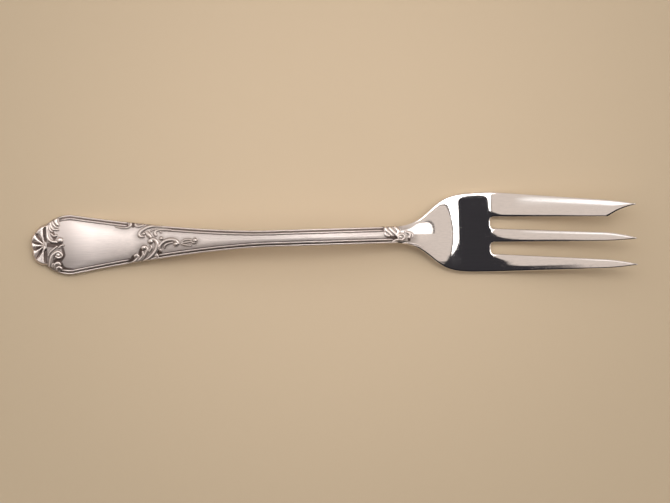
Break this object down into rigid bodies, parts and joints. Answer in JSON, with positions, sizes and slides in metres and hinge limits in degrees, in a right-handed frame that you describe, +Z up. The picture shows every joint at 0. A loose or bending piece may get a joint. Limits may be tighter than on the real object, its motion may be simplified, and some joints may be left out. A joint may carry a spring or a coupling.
{
  "type": "pastry fork",
  "caption": "Silver pastry fork with a wide notched cutting tine, slim tines, a flared head and a shell-and-scroll handle edged with raised threads.",
  "frame": {"origin": "on the table, under the middle of the fork's length and width, with the fork lying face up", "axes": "+X from the handle end to the tine tips, +Y to the side of the wide cutting tine, +Z up"},
  "size_m": [0.155, 0.0206, 0.0116],
  "materials": {
    "satin_silver": "satin silver with dark patina in the recesses",
    "polished_silver": "polished silver with fine polishing lines",
    "ornament_silver": "raised silver, bright on the crests and dark at the foot"
  },
  "bodies": {
    "root": {"handle": "satin_silver", "fork_head": "polished_silver", "terminal_shell": "ornament_silver", "upper_panel_threads": "ornament_silver", "lower_panel_threads": "ornament_silver", "upper_stem_threads": "ornament_silver", "lower_stem_threads": "ornament_silver", "upper_shell_scroll": "ornament_silver", "lower_shell_scroll": "ornament_silver", "waist_scroll": "ornament_silver", "waist_leaves": "ornament_silver", "stem_spray": "ornament_silver", "neck_leaf": "ornament_silver", "neck_volute": "ornament_silver"}
  },
  "joints": []
}
